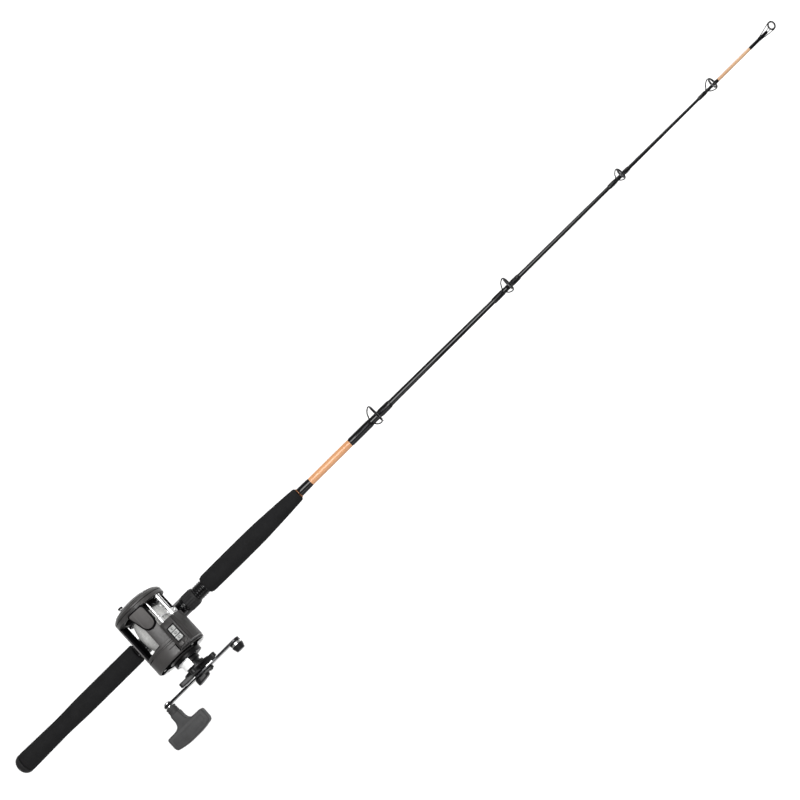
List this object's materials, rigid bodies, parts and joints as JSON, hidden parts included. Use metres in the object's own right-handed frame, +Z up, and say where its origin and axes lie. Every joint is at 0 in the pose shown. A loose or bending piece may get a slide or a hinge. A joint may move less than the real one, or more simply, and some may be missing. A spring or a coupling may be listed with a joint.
{
  "type": "fishing rod with line-counter reel",
  "caption": "Short boat fishing rod with foam grips, wire line guides and a star-drag level-wind reel that has a line counter, a twin-ended crank and a T-shaped knob.",
  "frame": {"origin": "centre of the small flat on the end of the butt cap, on the rod's axis", "axes": "+X along the rod to the tip, +Z up through the reel and the guides, the crank on the -Y side"},
  "size_m": [1.5222, 0.2039, 0.1193],
  "materials": {
    "bearing_left": "ground steel",
    "bearing_right": "ground steel",
    "blank": "black gloss coating",
    "butt_band": "orange thread under clear gloss",
    "butt_cap": "moulded rubber",
    "butt_grip": "closed-cell foam, matt",
    "clicker_button": "black moulding",
    "counter_housing": "graphite-grey moulding",
    "counter_window": "clear window",
    "counterweight": "black plated metal",
    "digit_wheel_hundreds": "off-white moulding",
    "digit_wheel_tens": "off-white moulding",
    "digit_wheel_units": "off-white moulding",
    "drive_shaft": "ground steel",
    "fore_grip": "closed-cell foam, matt",
    "free_spool_lever": "bright chrome",
    "gear_boss": "black moulding",
    "guide_frame_1": "black plated metal",
    "guide_frame_2": "black plated metal",
    "guide_frame_3": "black plated metal",
    "guide_frame_4": "black plated metal",
    "guide_ring_1": "polished grey ceramic",
    "guide_ring_2": "polished grey ceramic",
    "guide_ring_3": "polished grey ceramic",
    "guide_ring_4": "polished grey ceramic",
    "guide_rod": "bright chrome",
    "guide_wrap_1": "black gloss coating",
    "guide_wrap_2": "black gloss coating",
    "guide_wrap_3": "black gloss coating",
    "guide_wrap_4": "black gloss coating",
    "handle_arm": "black plated metal",
    "handle_knob": "black moulding",
    "handle_nut": "black plated metal",
    "hosel_wrap": "black gloss coating",
    "idler_gear": "off-white moulding",
    "knob_spindle": "bright chrome",
    "left_side_plate": "graphite-grey moulding",
    "line_guide": "bright chrome",
    "line_winding": "wound light grey line",
    "main_gear": "cut brass",
    "pinion_gear": "cut brass",
    "reel_foot": "ground steel",
    "reel_frame": "graphite-grey moulding",
    "reel_seat": "black gloss coating",
    "reset_button": "black moulding",
    "right_side_plate": "graphite-grey moulding",
    "seat_hood": "black gloss coating",
    "seat_nut": "black moulding",
    "spool": "black plated metal",
    "spool_cog": "off-white moulding",
    "spool_shaft": "ground steel",
    "star_drag": "black moulding",
    "thumb_rest": "graphite-grey moulding",
    "tip_band": "orange thread under clear gloss",
    "tip_top_frame": "black plated metal",
    "tip_top_ring": "polished grey ceramic",
    "winding_check": "copper-brown anodised ring",
    "worm_gear": "off-white moulding",
    "worm_shaft": "ground steel",
    "worm_tube": "bright chrome"
  },
  "bodies": {
    "rod": {"bearing_left": "bearing_left", "bearing_right": "bearing_right", "blank": "blank", "butt_band": "butt_band", "butt_cap": "butt_cap", "butt_grip": "butt_grip", "counter_housing": "counter_housing", "counter_window": "counter_window", "fore_grip": "fore_grip", "gear_boss": "gear_boss", "guide_frame_1": "guide_frame_1", "guide_frame_2": "guide_frame_2", "guide_frame_3": "guide_frame_3", "guide_frame_4": "guide_frame_4", "guide_ring_1": "guide_ring_1", "guide_ring_2": "guide_ring_2", "guide_ring_3": "guide_ring_3", "guide_ring_4": "guide_ring_4", "guide_rod": "guide_rod", "guide_wrap_1": "guide_wrap_1", "guide_wrap_2": "guide_wrap_2", "guide_wrap_3": "guide_wrap_3", "guide_wrap_4": "guide_wrap_4", "hosel_wrap": "hosel_wrap", "left_side_plate": "left_side_plate", "reel_foot": "reel_foot", "reel_frame": "reel_frame", "reel_seat": "reel_seat", "right_side_plate": "right_side_plate", "thumb_rest": "thumb_rest", "tip_band": "tip_band", "tip_top_frame": "tip_top_frame", "tip_top_ring": "tip_top_ring", "winding_check": "winding_check", "worm_tube": "worm_tube"},
    "seat_hood": {"seat_hood": "seat_hood"},
    "seat_nut": {"seat_nut": "seat_nut"},
    "crank": {"drive_shaft": "drive_shaft", "main_gear": "main_gear", "handle_arm": "handle_arm", "handle_nut": "handle_nut", "counterweight": "counterweight", "knob_spindle": "knob_spindle"},
    "star": {"star_drag": "star_drag"},
    "knob": {"handle_knob": "handle_knob"},
    "spool": {"spool": "spool", "spool_shaft": "spool_shaft", "line_winding": "line_winding", "pinion_gear": "pinion_gear", "spool_cog": "spool_cog"},
    "idler": {"idler_gear": "idler_gear"},
    "worm": {"worm_shaft": "worm_shaft", "worm_gear": "worm_gear"},
    "line_guide": {"line_guide": "line_guide"},
    "free_spool_lever": {"free_spool_lever": "free_spool_lever"},
    "clicker": {"clicker_button": "clicker_button"},
    "reset_button": {"reset_button": "reset_button"},
    "units_wheel": {"digit_wheel_units": "digit_wheel_units"},
    "tens_wheel": {"digit_wheel_tens": "digit_wheel_tens"},
    "hundreds_wheel": {"digit_wheel_hundreds": "digit_wheel_hundreds"}
  },
  "joints": [
    {"name": "hood_slide", "type": "slide", "parent": "rod", "child": "seat_hood", "axis": [1, 0, 0], "range_m": [0, 0.0121]},
    {"name": "nut_spin", "type": "hinge", "parent": "seat_hood", "child": "seat_nut", "pos_m": [0.347, 0, 0], "axis": [1, 0, 0], "range_deg": [0, 1180]},
    {"name": "crank_spin", "type": "hinge", "parent": "rod", "child": "crank", "pos_m": [0.296, 0, 0.035], "axis": [0, -1, 0], "continuous": true},
    {"name": "star_turn", "type": "hinge", "parent": "crank", "child": "star", "pos_m": [0.296, 0, 0.035], "axis": [0, -1, 0], "range_deg": [-90, 90]},
    {"name": "knob_spin", "type": "hinge", "parent": "crank", "child": "knob", "pos_m": [0.23, 0, 0.035], "axis": [0, -1, 0], "continuous": true},
    {"name": "spool_spin", "type": "hinge", "parent": "rod", "child": "spool", "pos_m": [0.296, 0, 0.055], "axis": [0, -1, 0], "continuous": true},
    {"name": "idler_spin", "type": "hinge", "parent": "rod", "child": "idler", "pos_m": [0.31226, 0, 0.05997], "axis": [0, -1, 0], "continuous": true},
    {"name": "worm_spin", "type": "hinge", "parent": "rod", "child": "worm", "pos_m": [0.32851, 0, 0.06494], "axis": [0, -1, 0], "continuous": true},
    {"name": "line_guide_travel", "type": "slide", "parent": "rod", "child": "line_guide", "axis": [0, -1, 0], "range_m": [-0.024, 0.0215]},
    {"name": "lever_turn", "type": "hinge", "parent": "rod", "child": "free_spool_lever", "pos_m": [0.2832, 0, 0.0478], "axis": [0, -1, 0], "range_deg": [0, 40]},
    {"name": "clicker_slide", "type": "slide", "parent": "rod", "child": "clicker", "axis": [1, 0, 0], "range_m": [0, 0.006]},
    {"name": "reset_press", "type": "slide", "parent": "rod", "child": "reset_button", "axis": [0, 0, -1], "range_m": [0, 0.0015], "stiffness_N_per_m": 300},
    {"name": "units_spin", "type": "hinge", "parent": "rod", "child": "units_wheel", "pos_m": [0.3225, 0, 0.096], "axis": [0, -1, 0], "continuous": true},
    {"name": "tens_spin", "type": "hinge", "parent": "rod", "child": "tens_wheel", "pos_m": [0.3225, 0, 0.096], "axis": [0, -1, 0], "continuous": true},
    {"name": "hundreds_spin", "type": "hinge", "parent": "rod", "child": "hundreds_wheel", "pos_m": [0.3225, 0, 0.096], "axis": [0, -1, 0], "continuous": true}
  ],
  "couplings": [
    {"joint": "hood_slide", "follows": "nut_spin", "m_per_rad": 0.00058251},
    {"joint": "spool_spin", "follows": "crank_spin", "ratio": -3},
    {"joint": "idler_spin", "follows": "crank_spin", "ratio": 1.25},
    {"joint": "worm_spin", "follows": "crank_spin", "ratio": -3},
    {"joint": "units_spin", "follows": "crank_spin", "ratio": 0.16667},
    {"joint": "tens_spin", "follows": "crank_spin", "ratio": 0.016667},
    {"joint": "hundreds_spin", "follows": "crank_spin", "ratio": 0.0016667}
  ]
}
